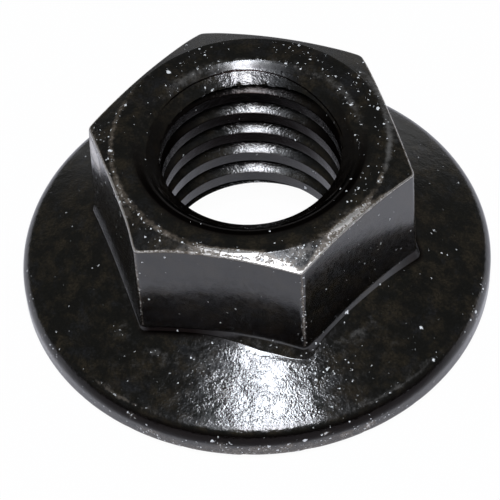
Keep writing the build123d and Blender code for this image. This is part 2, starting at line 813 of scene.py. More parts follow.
class NutRules:
    """The tree that winds the thread and cuts the serrations on the nut's plain mesh."""

    name = "nut_rules"
    normal_weight = 50

    def __init__(self, sizes: dict[str, float]) -> None:
        """Build the tree.

        Args:
            sizes: names and values of the inputs for the nut's sizes.
        """
        self.sizes = sizes
        self.tree = bpy.data.node_groups.new(self.name, "GeometryNodeTree")
        face = self.tree.interface
        face.new_socket("Geometry", in_out="INPUT", socket_type="NodeSocketGeometry")
        for name in sizes:
            face.new_socket(name, in_out="INPUT", socket_type="NodeSocketFloat")
        face.new_socket("Finish", in_out="INPUT", socket_type="NodeSocketMaterial")
        face.new_socket("Geometry", in_out="OUTPUT", socket_type="NodeSocketGeometry")
        desk = self.desk = NodeDesk(self.tree)
        self.given = desk.add("NodeGroupInput").outputs
        shape = self.given["Geometry"]
        for layer, places in ((Layer.IN_BORE, self.wind_thread()),
                              (Layer.UNDERSIDE, self.cut_teeth())):
            marked = desk.math("GREATER_THAN", self.read(layer), 0.5)
            feeds = {"Geometry": shape, "Selection": marked, "Position": places}
            shape = desk.add("GeometryNodeSetPosition", feeds).outputs[0]
        fold = desk.add("GeometryNodeInputMeshEdgeAngle").outputs["Unsigned Angle"]
        crisp = desk.math("LESS_THAN", fold, self.given["Crisp Angle"])
        feeds = {"Geometry": shape, "Shade Smooth": crisp}
        shape = desk.add("GeometryNodeSetShadeSmooth", feeds, domain="EDGE").outputs[0]
        shape = desk.add("GeometryNodeRealizeInstances", {0: shape}).outputs[0]
        feeds = {"Geometry": shape, "Material": self.given["Finish"]}
        shape = desk.add("GeometryNodeSetMaterial", feeds).outputs[0]
        desk.add("NodeGroupOutput", {0: shape})

    def read(self, layer: Layer) -> Socket:
        """Read one of the mesh's attributes."""
        return self.desk.add("GeometryNodeInputNamedAttribute", {"Name": layer.value}).outputs[0]

    def wind_thread(self) -> Socket:
        """Place the bore's vertices by their turn and their lead.

        Returns:
            The vertices' places.
        """
        desk, given = self.desk, self.given
        turn, lead = self.read(Layer.TURN), self.read(Layer.LEAD)
        climb = desk.times(desk.math("ADD", turn, lead), given["Pitch"])
        free = desk.math("ADD", climb, given["Phase"])
        height = desk.math("MINIMUM", desk.most(free, given["Low Seam"]), given["High Seam"])
        off = desk.math("ABSOLUTE", desk.math("SUBTRACT", lead, desk.math("ROUND", lead)))
        off = desk.times(off, given["Pitch"])
        opening = desk.math("ADD", given["Half Root"], given["Flank Run"])
        share = desk.math("DIVIDE", desk.math("SUBTRACT", opening, off), given["Flank Run"],
                          clamp=True)
        shut = desk.times(desk.ramp(height, given["Pressed Low"], given["Pressed High"]),
                          desk.ramp(turn, given["Pressed From"], given["Pressed Fully"]),
                          desk.fall(turn, given["Pressed Till"], given["Pressed End"]))
        share = desk.times(share, desk.math("SUBTRACT", 1.0, shut))
        thread = desk.math("MULTIPLY_ADD", share, given["Thread Depth"], given["Crest Radius"])
        ends = []
        for end, sign in (("Low Seam", -1.0), ("High Seam", 1.0)):
            past = desk.times(desk.math("SUBTRACT", height, given[end]), sign)
            ends.append(desk.math("MULTIPLY_ADD", past, given["Gain"], given["Seam Radius"]))
        radius = desk.math("SMOOTH_MAX", thread, desk.most(*ends), given["Run-out"])
        angle = desk.times(turn, math.tau)
        x = desk.times(radius, desk.math("COSINE", angle))
        y = desk.times(radius, desk.math("SINE", angle))
        return desk.add("ShaderNodeCombineXYZ", {0: x, 1: y, 2: height}).outputs[0]

    def cut_teeth(self) -> Socket:
        """Raise the underside between the tooth tips, deepest at the rim.

        Returns:
            The vertices' places.
        """
        desk, given = self.desk, self.given
        x, y, z = desk.parts(desk.add("GeometryNodeInputPosition").outputs[0])
        radius = desk.math("SQRT", desk.math("ADD", desk.times(x, x), desk.times(y, y)))
        angle = desk.math("SUBTRACT", desk.angle((x, y)), given["First Tip"])
        step = desk.math("DIVIDE", 360.0, given["Tooth Count"])
        past_tip = desk.math("FLOORED_MODULO", angle, step)
        half_land = desk.times(given["Land"], 0.5)
        rise = desk.math("DIVIDE", desk.math("SUBTRACT", past_tip, half_land),
                         given["Steep Side"], clamp=True)
        ahead = desk.math("SUBTRACT", desk.math("SUBTRACT", step, half_land), past_tip)
        ramp = desk.math("SUBTRACT", desk.math("SUBTRACT", step, given["Land"]),
                         given["Steep Side"])
        fall = desk.math("DIVIDE", ahead, ramp, clamp=True)
        share = desk.math("DIVIDE", radius, given["Rim Radius"])
        lift = desk.times(desk.math("MINIMUM", rise, fall),
                          desk.times(share, given["Tooth Depth"]))
        return desk.add("ShaderNodeCombineXYZ", {0: x, 1: y, 2: desk.most(z, lift)}).outputs[0]

    def apply(self, piece: bpy.types.Object, finish: bpy.types.Material) -> None:
        """Run the tree on a piece and keep the result as its plain mesh.

        Args:
            piece: the object with the plain mesh.
            finish: the material that the tree sets.
        """
        modifier = piece.modifiers.new(self.name, "NODES")
        modifier.node_group = self.tree
        sockets = {s.name: s.identifier for s in self.tree.interface.items_tree
                   if s.in_out == "INPUT"}
        for name, value in self.sizes.items():
            modifier[sockets[name]] = float(value)
        modifier[sockets["Finish"]] = finish
        smooth = piece.modifiers.new("even_shading", "WEIGHTED_NORMAL")
        smooth.keep_sharp = True
        smooth.weight = self.normal_weight
        seen = piece.evaluated_get(bpy.context.evaluated_depsgraph_get())
        plain = bpy.data.meshes.new_from_object(seen)
        old = piece.data
        piece.modifiers.clear()
        piece.data = plain
        bpy.data.meshes.remove(old)


# --- Finishes ---


@dataclass(frozen=True)
class PressedFold:
    """The hairline that runs round the far side of the upper countersink, painted black as the
    shade in its crease.

    Its radius goes from one end of radii to the other as the angle passes angles. It fades
    in over starts and out over ends, and below the lowest heights.
    """

    angles: Span = (38.0, 112.0)
    radii: Span = (4.545, 5.0)
    inset: float = -0.025
    waver: float = 0.05
    half_width: Span = (0.014, 0.034)
    starts: Span = (18.0, 27.0)
    ends: Span = (148.0, 172.0)
    lowest: Span = (9.3, 9.36)

    def build(self, desk: NodeDesk, at: Any, noise: Any) -> Socket:
        """Find the hairline.

        Args:
            desk: the tree's desk.
            at: the place, in millimetres.
            noise: a noise that makes the line uneven.

        Returns:
            A share that is 1 in the line.
        """
        parts = desk.parts(at)
        flat = desk.vector("MULTIPLY", at, (1.0, 1.0, 0.0)).outputs[0]
        radius = desk.vector("LENGTH", flat).outputs["Value"]
        angle = desk.angle(parts)
        path = desk.stir(noise, self.waver, desk.ramp(angle, *self.angles, *self.radii))
        off = desk.math("SUBTRACT", desk.math("SUBTRACT", radius, path), self.inset)
        return desk.times(desk.fall(desk.math("ABSOLUTE", off), *self.half_width),
                          desk.ramp(angle, *self.starts), desk.fall(angle, *self.ends),
                          desk.ramp(parts[2], *self.lowest))


@dataclass(frozen=True)
class Flecks:
    """Small bright chips, scattered where the layer of chips says so.

    The scale is cells to the millimetre; sizes and the soft edge are shares of a cell.
    """

    scale: float
    smallest: float
    largest: float
    cover: float
    soft: float = 0.06

    def build(self, desk: NodeDesk, at: Any, chips: Any) -> Socket:
        """Scatter the flecks.

        Args:
            desk: the tree's desk.
            at: the place, in millimetres, bent a little so that the flecks are ragged.
            chips: how many cells hold a fleck.

        Returns:
            A share that is 1 on a fleck.
        """
        cells = desk.add("ShaderNodeTexVoronoi", {"Vector": at, "Scale": self.scale})
        drawn = desk.add("ShaderNodeSeparateColor", {0: cells.outputs["Color"]}).outputs
        held = desk.math("LESS_THAN", drawn[0], desk.times(chips, self.cover))
        size = desk.ramp(drawn[1], 0.0, 1.0, self.smallest, self.largest, Rise.STRAIGHT)
        depth = desk.math("SUBTRACT", size, cells.outputs["Distance"])
        return desk.times(held, desk.ramp(depth, 0.0, self.soft))


@dataclass(frozen=True)
class BlackOxide:
    """The nut's finish: glossy black oxide, finely crinkled, worn to bare steel on edges, with
    painted shade and painted sheen.

    A field that ends in _at is the span of noise or wear over which something sets in, one
    that ends in _limit the span of its layer below which there is none, and one that ends
    in _stir says how far a noise breaks up its edge. Depths are millimetres.
    """

    name: str = "blackened_steel"
    black: Colour = (0.0020, 0.0019, 0.0015)
    brown: Colour = (0.0128, 0.0099, 0.0058)
    smoke: Colour = (0.0070, 0.0074, 0.0084)
    tan: Colour = (0.13, 0.108, 0.083)
    # Colour of the smears and of the painted sheen.
    smear_and_sheen: Colour = (0.108, 0.106, 0.101)
    bare: Colour = (0.62, 0.60, 0.57)
    fleck: Colour = (0.80, 0.83, 0.84)
    # Colour of the painted shade.
    painted_shade_colour: Colour = (0.0060, 0.0036, 0.0032)
    gloss_ior: float = 1.7
    fine: Noise = Noise(9.0, 3.0, 0.6)
    patch: Noise = Noise(3.2, 4.0, 0.65)
    rust: Noise = Noise(1.0, 4.0, 0.65)
    rust_at: Span = (0.42, 0.66)
    bloom: Noise = Noise(0.7, 4.0, 0.7)
    bloom_at: Span = (0.5, 0.72)
    bloom_stretch: tuple[float, float, float] = (0.8, 0.8, 3.0)
    bloom_place: tuple[float, float, float] = (31.0, 17.0, 5.0)
    mottle_at: Span = (0.32, 0.68)
    mottle: Span = (0.45, 1.7)
    # How the smears and the painted sheen break up and set in.
    smear_and_sheen_stir: float = 1.1
    smear_and_sheen_at: Span = (0.1, 0.9)
    smear_and_sheen_limit: Span = (0.02, 0.12)
    wear_stir: float = 0.95
    bare_stir: float = 1.5
    wear_limit: Span = (0.02, 0.15)
    thin_at: Span = (0.12, 0.75)
    bare_at: Span = (0.66, 0.9)
    # How far flecks and bare steel lift the painted shade.
    painted_shade_cover: float = 0.99
    bare_shine: float = 0.65
    thin_shine: float = 0.2
    thin_dull: float = 0.16
    fleck_dull: float = 0.3
    uneven_at: Span = (0.3, 0.7)
    unevenness: Span = (0.75, 1.3)
    swell: Noise = Noise(0.9)
    swell_depth: float = 0.05
    crinkle: Noise = Noise(9.5, 2.0, 0.6)
    crinkle_depth: float = 0.023
    rough: Noise = Noise(1.7, 3.0, 0.6)
    rough_at: Span = (0.36, 0.62)
    roughness: Span = (0.55, 1.3)
    hollow_depth: float = -0.008
    ragged: Noise = Noise(11.0)
    ragged_reach: float = 0.22
    fold: PressedFold = PressedFold()
    flecks: tuple[Flecks, ...] = (
        Flecks(2.3, 0.10, 0.30, 0.75),
        Flecks(5.5, 0.15, 0.34, 1.0),
        Flecks(9.0, 0.12, 0.3, 0.45),
    )

    def build(self) -> bpy.types.Material:
        """Build the material.

        Returns:
            The material, which reads Object coordinates and the mesh's layers.
        """
        material, desk = new_material(self.name)
        here = desk.add("ShaderNodeTexCoord").outputs["Object"]
        at = desk.vector("SCALE", here, Scale=1 / MM).outputs[0]
        wear, chips, grain, painted_shade, smear_and_sheen, dull = (
            desk.add("ShaderNodeAttribute", attribute_name=layer.value).outputs["Fac"]
            for layer in (Layer.WEAR, Layer.CHIPS, Layer.GRAIN, Layer.PAINTED_SHADE, Layer.SMEAR_AND_SHEEN, Layer.DULL)
        )
        fine, patch = desk.noise(at, self.fine), desk.noise(at, self.patch)
        thin, bare = self.worn(desk, wear, fine, patch)
        fleck = self.chipped(desk, at, chips)
        # The hairline, painted black as the shade in its crease.
        fold = self.fold.build(desk, at, patch)
        # Smears and painted sheen, broken up by noise.
        cloud = desk.times(desk.ramp(desk.stir(patch, self.smear_and_sheen_stir, smear_and_sheen), *self.smear_and_sheen_at),
                           desk.ramp(smear_and_sheen, *self.smear_and_sheen_limit))
        # Painted shade and the hairline turn the colour black and the metallic full, so that
        # nothing is mirrored.
        covered = desk.math("SUBTRACT", self.painted_shade_cover, desk.most(fleck, bare), clamp=True)
        painted_shade_share = desk.most(desk.times(painted_shade, covered), fold)
        colour = self.oxide(desk, at, fine)
        for share, shade in ((cloud, self.smear_and_sheen), (thin, self.tan), (bare, self.bare),
                             (fleck, self.fleck), (painted_shade_share, self.painted_shade_colour)):
            colour = desk.blend(share, colour, shade)
        shine = desk.math("MULTIPLY_ADD", bare, self.bare_shine, desk.times(thin, self.thin_shine))
        shine = desk.times(shine, desk.math("SUBTRACT", 1.0, fleck))
        dull = desk.times(dull, desk.ramp(patch, *self.uneven_at, *self.unevenness))
        worn_dull = desk.math("MULTIPLY_ADD", thin, self.thin_dull,
                              desk.times(fleck, self.fleck_dull))
        hollow = desk.most(bare, fleck, fold)
        shader = desk.add(
            "ShaderNodeBsdfPrincipled",
            {"Base Color": colour, "Metallic": desk.most(shine, painted_shade_share),
             "Roughness": desk.math("ADD", dull, worn_dull), "IOR": self.gloss_ior,
             "Normal": self.relief(desk, at, grain, hollow)},
        )
        desk.add("ShaderNodeOutputMaterial", {0: shader.outputs[0]})
        return material

    def oxide(self, desk: NodeDesk, at: Any, fine: Any) -> Socket:
        """Mix the oxide's own colour: black, clouded with brown and with a blue-grey bloom.

        Args:
            desk: the tree's desk.
            at: the place, in millimetres.
            fine: fine noise.

        Returns:
            The colour.
        """
        rust = desk.noise(at, self.rust)
        drawn = desk.vector("MULTIPLY_ADD", at, self.bloom_stretch, self.bloom_place).outputs[0]
        bloom = desk.noise(drawn, self.bloom)
        colour = desk.blend(desk.ramp(rust, *self.rust_at), self.black, self.brown)
        colour = desk.blend(desk.ramp(bloom, *self.bloom_at), colour, self.smoke)
        mottle = desk.ramp(fine, *self.mottle_at, *self.mottle)
        return desk.vector("SCALE", colour, Scale=mottle).outputs[0]

    def worn(self, desk: NodeDesk, wear: Any, fine: Any, patch: Any) -> tuple[Socket, Socket]:
        """Find where the finish is worn: thin at first, then through to bare steel.

        Args:
            desk: the tree's desk.
            wear: the layer of wear.
            fine: fine noise.
            patch: middling noise.

        Returns:
            The shares of thin finish and of bare steel.
        """
        cloud = desk.stir(patch, self.wear_stir, wear)
        crumb = desk.stir(fine, self.bare_stir, cloud)
        touched = desk.ramp(wear, *self.wear_limit)
        return (desk.times(desk.ramp(cloud, *self.thin_at), touched),
                desk.times(desk.ramp(crumb, *self.bare_at), touched))

    def chipped(self, desk: NodeDesk, at: Any, chips: Any) -> Socket:
        """Scatter the flecks of every size.

        Args:
            desk: the tree's desk.
            at: the place, in millimetres.
            chips: the layer of chips.

        Returns:
            A share that is 1 on a fleck.
        """
        bend = desk.noise(at, self.ragged, output=1)
        bend = desk.vector("SCALE", bend, Scale=self.ragged_reach).outputs[0]
        ragged = desk.vector("ADD", at, bend).outputs[0]
        return desk.most(*(kind.build(desk, ragged, chips) for kind in self.flecks))

    def relief(self, desk: NodeDesk, at: Any, grain: Any, hollow: Any) -> Socket:
        """Raise the crinkle of the finish and the unevenness of the metal under it.

        Args:
            desk: the tree's desk.
            at: the place, in millimetres.
            grain: how strong the crinkle is.
            hollow: the share of places where finish is missing.

        Returns:
            The bent normal.
        """
        swell = desk.times(desk.noise(at, self.swell), grain)
        rough = desk.ramp(desk.noise(at, self.rough), *self.rough_at, *self.roughness)
        crinkle = desk.times(desk.noise(at, self.crinkle), rough, grain)
        bend: dict[str, Any] = {}
        for height, depth in ((swell, self.swell_depth), (crinkle, self.crinkle_depth),
                              (hollow, self.hollow_depth)):
            feeds = {"Strength": 1.0, "Distance": depth * MM, "Height": height, **bend}
            bend = {"Normal": desk.add("ShaderNodeBump", feeds).outputs[0]}
        return bend["Normal"]


@dataclass(frozen=True)
class PaleFloor:
    """A plain white sweep of board that keeps a faint shadow."""

    name: str = "white_board"
    colour: Colour = (0.91, 0.9, 0.94)
    glow: Colour = (1.0, 1.0, 1.0)
    seen_white: float = 0.97
    mirrored_white: float = 0.03

    def build(self) -> bpy.types.Material:
        """Build the material.

        Returns:
            The material: white where it is looked at, faintly so where it is mirrored, and
            matt for all other light.
        """
        material, desk = new_material(self.name)
        path = desk.add("ShaderNodeLightPath").outputs
        looked = desk.times(desk.most(path["Is Camera Ray"], path["Is Transmission Ray"]),
                            self.seen_white)
        share = desk.most(looked, desk.times(path["Is Glossy Ray"], self.mirrored_white))
        matt = desk.add("ShaderNodeBsdfDiffuse", {"Color": (*self.colour, 1.0)}).outputs[0]
        glow = desk.add("ShaderNodeEmission", {"Color": (*self.glow, 1.0), "Strength": 1.0})
        both = desk.add("ShaderNodeMixShader", {0: share, 1: matt, 2: glow.outputs[0]})
        desk.add("ShaderNodeOutputMaterial", {0: both.outputs[0]})
        return material


# --- The nut ---


@dataclass
class FlangeNut:
    """The whole nut as one closed mesh.

    Every vertex of the shell belongs to a column, which is a direction about the axis, and
    to a row, which is a place along the profile: from the lower countersink out round the
    flange, up the hexagon and in to the upper countersink. The bore's rows follow the
    thread, and run out into the seams that it shares with the shell.

    A point counts as on a surface when it lies within that surface's skin. The sprinkle is
    the scatter of chips all over. The lip's finish sets in over lip_ring, which is how far
    outside the countersink.
    """

    hexagon: Hexagon = Hexagon()
    flange: Flange = Flange()
    bore: Bore = Bore()
    teeth: Serration = Serration()
    finish: BlackOxide = BlackOxide()
    crinkle: Crinkle = Crinkle()
    dull: Dullness = Dullness()
    # Where painted shade darkens the finish.
    painted_shade: PaintedShade = PaintedShade()
    crisp_angle: float = 40.0
    sprinkle: float = 0.012
    lip_ring: Span = (0.45, 0.25)
    top_skin: float = 0.02
    flat_skin: float = 0.03
    edge_skin: float = 0.05
    chamfer_skin: float = 0.1
    least_gap: float = 0.12
    run_out_steps: int = 4001
    dents: tuple[Dent, ...] = (
        Dent(240.0, 7.9, 8.6, (7.0, 0.8, 3.0), (0.15, -0.02)),
        Dent(120.0, 8.1, 9.4, (4.5, 0.6, 0.7), (-0.07, 0.02)),
        Dent(60.0, 8.1, 9.4, (4.0, 0.6, 0.7), (-0.04, 0.0)),
        Dent(180.0, 8.1, 9.4, (3.5, 0.6, 0.6), (-0.02, 0.0)),
    )
    # Angle, width and strength.
    edges: tuple[EdgeWear, ...] = tuple(EdgeWear(*row) for row in (
        (0.0, 0.12, 0.7), (8.0, 0.1, 0.5), (26.0, 0.1, 0.75), (45.0, 0.1, 0.45),
        (60.0, 0.1, 0.2), (150.0, 0.1, 0.15), (180.0, 0.1, 0.4), (195.0, 0.12, 0.75),
        (225.0, 0.12, 0.75), (240.0, 0.14, 0.6), (250.0, 0.16, 0.3), (262.0, 0.5, 0.36),
        (270.0, 0.6, 0.46), (277.0, 0.7, 0.56), (283.0, 0.75, 0.7), (290.0, 0.8, 0.8),
        (297.0, 0.62, 0.88), (300.5, 0.3, 0.7), (304.0, 0.26, 0.6), (309.0, 0.5, 0.5),
        (318.0, 0.66, 0.5), (332.0, 0.6, 0.48), (342.0, 0.3, 0.45), (350.0, 0.12, 0.7),
    ))
    # Angle, radius, height and reach; then wear, chips, and smears with painted sheen.
    rubs: tuple[Rub, ...] = tuple(Rub(*row) for row in (
        # The chamfer in front and the facet at its right corner.
        (262.0, 6.76, 9.97, (7.0, 0.26, 0.3), 0.38, 0.8, 0.3),
        (277.0, 6.76, 9.97, (9.0, 0.24, 0.3), 0.42, 0.6, 0.3),
        (300.5, 7.15, 9.8, (7.0, 0.45, 0.4), 0.42, 1.3, 0.4),
        (245.0, 7.2, 9.8, (8.0, 0.3, 0.3), 0.12, 0.3),
        (326.0, 6.7, 9.98, (13.0, 0.36, 0.3), 0.42, 0.25, 0.4),
        (352.0, 6.67, 9.99, (4.0, 0.12, 0.3), 0.55, 0.8),
        (341.0, 6.7, 9.99, (4.0, 0.12, 0.3), 0.35, 0.6),
        # The circle where the chamfer starts, and its right side.
        (172.0, 6.71, 10.0, (16.0, 0.1, 0.3), 0.2, 0.35),
        (200.0, 6.71, 10.0, (28.0, 0.15, 0.3), 0.32, 0.12, 0.2),
        (244.0, 6.71, 10.0, (12.0, 0.16, 0.3), 0.4, 0.3, 0.2),
        (10.0, 6.71, 10.0, (18.0, 0.15, 0.3), 0.0, 0.0, 0.7),
        (34.0, 7.05, 9.85, (18.0, 0.3, 0.3), 0.0, 0.0, 0.75),
        # Chips on the top, thickest on the right.
        (42.0, 6.4, 10.0, (32.0, 0.5, 0.5), 0.0, 0.3),
        (344.0, 5.75, 10.0, (9.0, 0.45, 0.5), 0.0, 0.35),
        (359.0, 6.35, 10.0, (2.0, 0.18, 0.3), 0.0, 1.0),
        (14.0, 5.05, 9.75, (5.0, 0.2, 0.3), 0.0, 0.6),
        (48.0, 5.5, 9.97, (28.0, 0.25, 0.3), 0.0, 0.3, 0.42),
        (108.0, 5.38, 9.95, (26.0, 0.2, 0.2), 0.0, 0.6, 0.3),
        (140.0, 5.3, 9.85, (18.0, 0.35, 0.3), 0.0, 0.25, 0.42),
        (200.0, 6.9, 9.9, (16.0, 0.25, 0.4), 0.0, 0.3),
        (222.0, 7.0, 9.9, (9.0, 0.3, 0.4), 0.2, 0.7),
        (128.0, 6.2, 10.0, (12.0, 0.5, 0.4), 0.0, 0.3),
        (80.0, 6.3, 10.0, (12.0, 0.6, 0.4), 0.0, 0.2),
        # The corner in front, and the foot below it.
        (299.5, 8.05, 5.3, (0.9, 0.2, 0.45), 0.35, 0.8),
        (299.9, 8.0, 7.0, (0.9, 0.25, 2.6), 0.16, 0.5),
        (240.1, 8.0, 7.0, (0.9, 0.35, 2.8), 0.2, 0.5),
        (299.6, 8.6, 3.2, (1.6, 0.5, 0.4), 0.0, 0.6),
        (306.0, 8.0, 3.4, (2.0, 0.4, 0.4), 0.0, 0.25),
        # The left corner: its flanks below the chamfer, where bare steel and flecks also paint the
        # highlight of the grazing left flat, and the edge of the top.
        (184.0, 7.75, 8.6, (6.0, 0.5, 0.9), 1.2, 2.2),
        (191.0, 7.4, 8.7, (4.5, 0.4, 0.6), 1.1, 1.6),
        (214.0, 6.9, 9.95, (8.0, 0.22, 0.4), 0.3),
        # The cone: flecks and sheen painted along the borders of the highlight in front, smears
        # and crumbs.
        (270.5, 9.2, 2.85, (5.0, 1.7, 0.9), 0.0, 0.4, 0.3),
        (247.0, 9.6, 2.7, (13.0, 1.4, 0.9), 0.0, 0.0, 0.13),
        (301.5, 9.8, 2.6, (4.0, 1.5, 0.8), 0.0, 0.35, 0.3),
        (263.0, 8.2, 3.3, (6.0, 0.7, 0.5), 0.0, 0.0, 0.3),
        (318.0, 8.2, 3.3, (12.0, 0.4, 0.4), 0.0, 0.0, 0.3),
        (286.0, 7.9, 3.5, (9.0, 0.35, 0.4), 0.0, 0.25),
        (311.0, 9.4, 2.7, (5.0, 1.2, 0.7), 0.0, 0.15, 0.14),
        (327.0, 9.3, 2.8, (6.0, 1.2, 0.6), 0.0, 0.12, 0.1),
        (250.4, 8.7, 3.1, (5.0, 0.22, 0.3), 0.0, 0.1, 0.34),
        (263.0, 9.6, 2.7, (3.5, 1.2, 0.8), 0.16, 0.1),
        (233.0, 8.7, 3.1, (5.0, 0.5, 0.4), 0.0, 0.1, 0.2),
        # The rim.
        (250.6, 11.4, 1.5, (1.4, 0.3, 0.16), 0.9, 2.2),
        (310.4, 11.4, 0.85, (1.5, 0.3, 0.22), 0.8, 1.9),
        (282.0, 11.5, 0.72, (42.0, 0.3, 0.36), 0.42, 0.4, 0.55),
        (256.0, 11.5, 0.95, (3.0, 0.3, 0.2), 0.35, 0.4),
        (305.0, 11.5, 0.9, (2.5, 0.3, 0.25), 0.4, 0.3),
        (222.0, 11.45, 1.0, (9.0, 0.3, 0.4), 0.25, 0.0, 0.4),
        (283.0, 11.5, 0.95, (3.0, 0.3, 0.2), 0.3, 0.8),
        (273.4, 11.4, 1.2, (1.3, 0.3, 0.16), 0.7, 1.7),
        (299.1, 11.4, 1.35, (1.6, 0.3, 0.14), 0.8, 1.3),
        (289.9, 11.4, 1.1, (1.2, 0.3, 0.16), 0.6, 1.5),
        (320.0, 11.1, 1.95, (16.0, 0.12, 0.15), 0.0, 0.15, 0.45),
        (246.0, 11.1, 1.95, (9.0, 0.1, 0.15), 0.3, 0.3, 0.3),
        (352.0, 11.4, 1.6, (9.0, 0.3, 0.5), 0.25, 0.35),
        (215.0, 11.4, 1.4, (14.0, 0.3, 0.6), 0.1, 0.2),
    ))

    @property
    def seams(self) -> Span:
        """Heights of the lower and the upper seam between bore and shell."""
        drop = self.bore.seam_drop
        return self.flange.dish_depth + drop, self.hexagon.height - drop

    def rule_sizes(self) -> dict[str, float]:
        """Name the sizes that the rules take.

        Returns:
            The inputs' names and values; lengths are in metres, limits along the turn in
            shares of it, the teeth's angles in degrees and the crisp angle in radians.
        """
        bore, teeth = self.bore, self.teeth
        lengths = {
            "Pitch": bore.pitch, "Crest Radius": bore.crest_radius, "Thread Depth": bore.depth,
            "Half Root": bore.root_flat / 2, "Flank Run": bore.flank_run, "Phase": bore.phase,
            "Seam Radius": bore.seam_radius, "Run-out": bore.run_out,
            "Low Seam": self.seams[0], "High Seam": self.seams[1],
            "Pressed Low": bore.pressed[0], "Pressed High": bore.pressed[1],
            "Tooth Depth": teeth.depth, "Rim Radius": self.flange.diameter / 2,
        }
        turns = {
            "Pressed From": bore.pressed_from[0], "Pressed Fully": bore.pressed_from[1],
            "Pressed Till": bore.pressed_to[0], "Pressed End": bore.pressed_to[1],
        }
        return {
            **{name: length * MM for name, length in lengths.items()},
            **{name: angle / 360 for name, angle in turns.items()},
            "Gain": bore.gain, "Tooth Count": teeth.count, "Land": teeth.land,
            "Steep Side": teeth.steep, "First Tip": teeth.first_tip,
            "Crisp Angle": math.radians(self.crisp_angle),
        }

    def columns(self) -> np.ndarray:
        """Find where the columns stand.

        Returns:
            Their directions in degrees, closest together at tooth tips and corners.
        """
        wanted = self.teeth.directions()
        for corner in range(0, 360, 60):
            wanted += [(corner + off) % 360 for off in self.hexagon.corner_fan]
        kept: list[float] = []
        for angle in sorted(wanted):
            if not kept or angle - kept[-1] > self.least_gap:
                kept.append(angle)
        return np.array(kept)

    def lower_part(self) -> tuple[np.ndarray, np.ndarray]:
        """Follow the flange's profile, from the lower seam to the cone's edge.

        Returns:
            The (radius, height) points and the wear at each.
        """
        f, b = self.flange, self.bore
        rim, slope = f.diameter / 2, math.radians(f.cone_slope)
        points, wear = rounded_profile([
            ((b.seam_radius, self.seams[0]), Edge()),
            ((b.countersink / 2, f.dish_depth), f.lower_lip),
            ((f.dish_diameter / 2, 0.0), f.bearing_inner),
            ((rim - f.bearing_edge, 0.0), f.bearing_outer),
            ((rim - f.rim_foot[0], f.rim_foot[1]), f.rim_lower),
            ((rim, f.cone_height(rim)), f.rim_shoulder),
            ((f.edge_radius - math.cos(slope), f.rim_height + math.sin(slope)), Edge()),
        ])
        return points[:-1], wear[:-1]

    def foot(self, angle: float, band: FootBand) -> np.ndarray:
        """Follow the sloped band at the hexagon's foot, with its edges softened.

        Args:
            angle: the column's direction in degrees.
            band: the band in that direction.

        Returns:
            The band's points, from the cone to the flat.
        """
        f = self.flange
        outline, normal, _ = self.hexagon.outline(angle)

        def cone(out: float) -> float:
            """Height of the cone at a distance from the flat."""
            return f.cone_height(float(np.hypot(*(outline + normal * out))))

        top, out = cone(0.0) + band.height, 0.0
        for _ in range(f.foot_passes):
            out = math.tan(math.radians(band.lean)) * (top - cone(out))
        beyond = out + f.foot_run
        local, _ = rounded_profile([
            ((beyond, cone(beyond)), Edge()), ((out, cone(out)), f.foot_lower),
            ((0.0, top), f.foot_upper), ((0.0, top + f.foot_run), Edge()),
        ])
        return np.array([np.append(outline + normal * p[0], p[1]) for p in local[1:-1]])

    def upper_part(self, angle: float, foot: float) -> tuple[np.ndarray, np.ndarray]:
        """Follow the profile up the hexagon and in to the upper seam.

        Args:
            angle: the column's direction in degrees.
            foot: height at which the band at the hexagon's foot ends.

        Returns:
            The (radius, height) points, and rows as shell_column gives them.
        """
        h, b, crinkle, rough = self.hexagon, self.bore, self.crinkle, self.dull
        outline, _, gap = h.outline(angle)
        reach = float(np.hypot(*outline))
        edge, sink = h.height - h.drop(reach), b.countersink / 2
        points, wear = rounded_profile([
            ((reach, foot), Edge()),
            ((reach, edge), h.upper_edge),
            ((h.chamfer_circle / 2, h.height), h.top_edge),
            ((sink, h.height), b.lip),
            ((b.seam_radius, self.seams[1]), b.seam),
        ])
        points, wear = points[1:], wear[1:]
        radius, height = points.T
        on_flat = radius > reach - self.flat_skin
        on_top = height > h.height - self.top_skin
        on_chamfer = ~on_top & (radius < reach - self.chamfer_skin)
        corner = math.exp(-((gap / h.corner_band) ** 2)) * h.corner_wear
        band = between(self.edges, angle)
        rubbed = band.strength * fade(band.width / 2, band.width, reach - radius)
        wear = np.maximum(wear, corner * on_flat) + rubbed * (height > edge - self.edge_skin)
        lip = smoothstep(*(sink + out for out in self.lip_ring), radius)
        # Painted shade low on the flats and on the countersink's lip.
        painted_shade = self.painted_shade.above_foot(angle, height, on_flat, lip)
        dull = np.where(on_chamfer, rough.chamfer, np.where(on_top, rough.top, rough.flat))
        dull = dull + (rough.lip - dull) * lip
        grain = np.where(on_top, crinkle.top, crinkle.flat)
        return points, layered(len(points), wear, grain, painted_shade, 0.0, dull)

    def shell_column(self, angle: float) -> tuple[np.ndarray, np.ndarray]:
        """Make one column of the shell.

        Args:
            angle: the column's direction in degrees.

        Returns:
            The points, and rows with the wear, the crinkle's strength, the painted shade, the
            smears and painted sheen, and the dullness at each.
        """
        f, crinkle, rough = self.flange, self.crinkle, self.dull
        way, band = polar(1.0, angle), between(f.foot, angle)
        low, low_wear = self.lower_part()
        fillet = self.foot(angle, band)
        high, high_rows = self.upper_part(angle, float(fillet[-1, 2]))
        start = np.append(low[-1, 0] * way, low[-1, 1])
        cone = [start + (fillet[0] - start) * k / f.cone_steps for k in range(1, f.cone_steps)]
        points = np.vstack([
            np.column_stack([low[:, :1] * way, low[:, 1:]]), cone, fillet,
            np.column_stack([high[:, :1] * way, high[:, 1:]]),
        ])
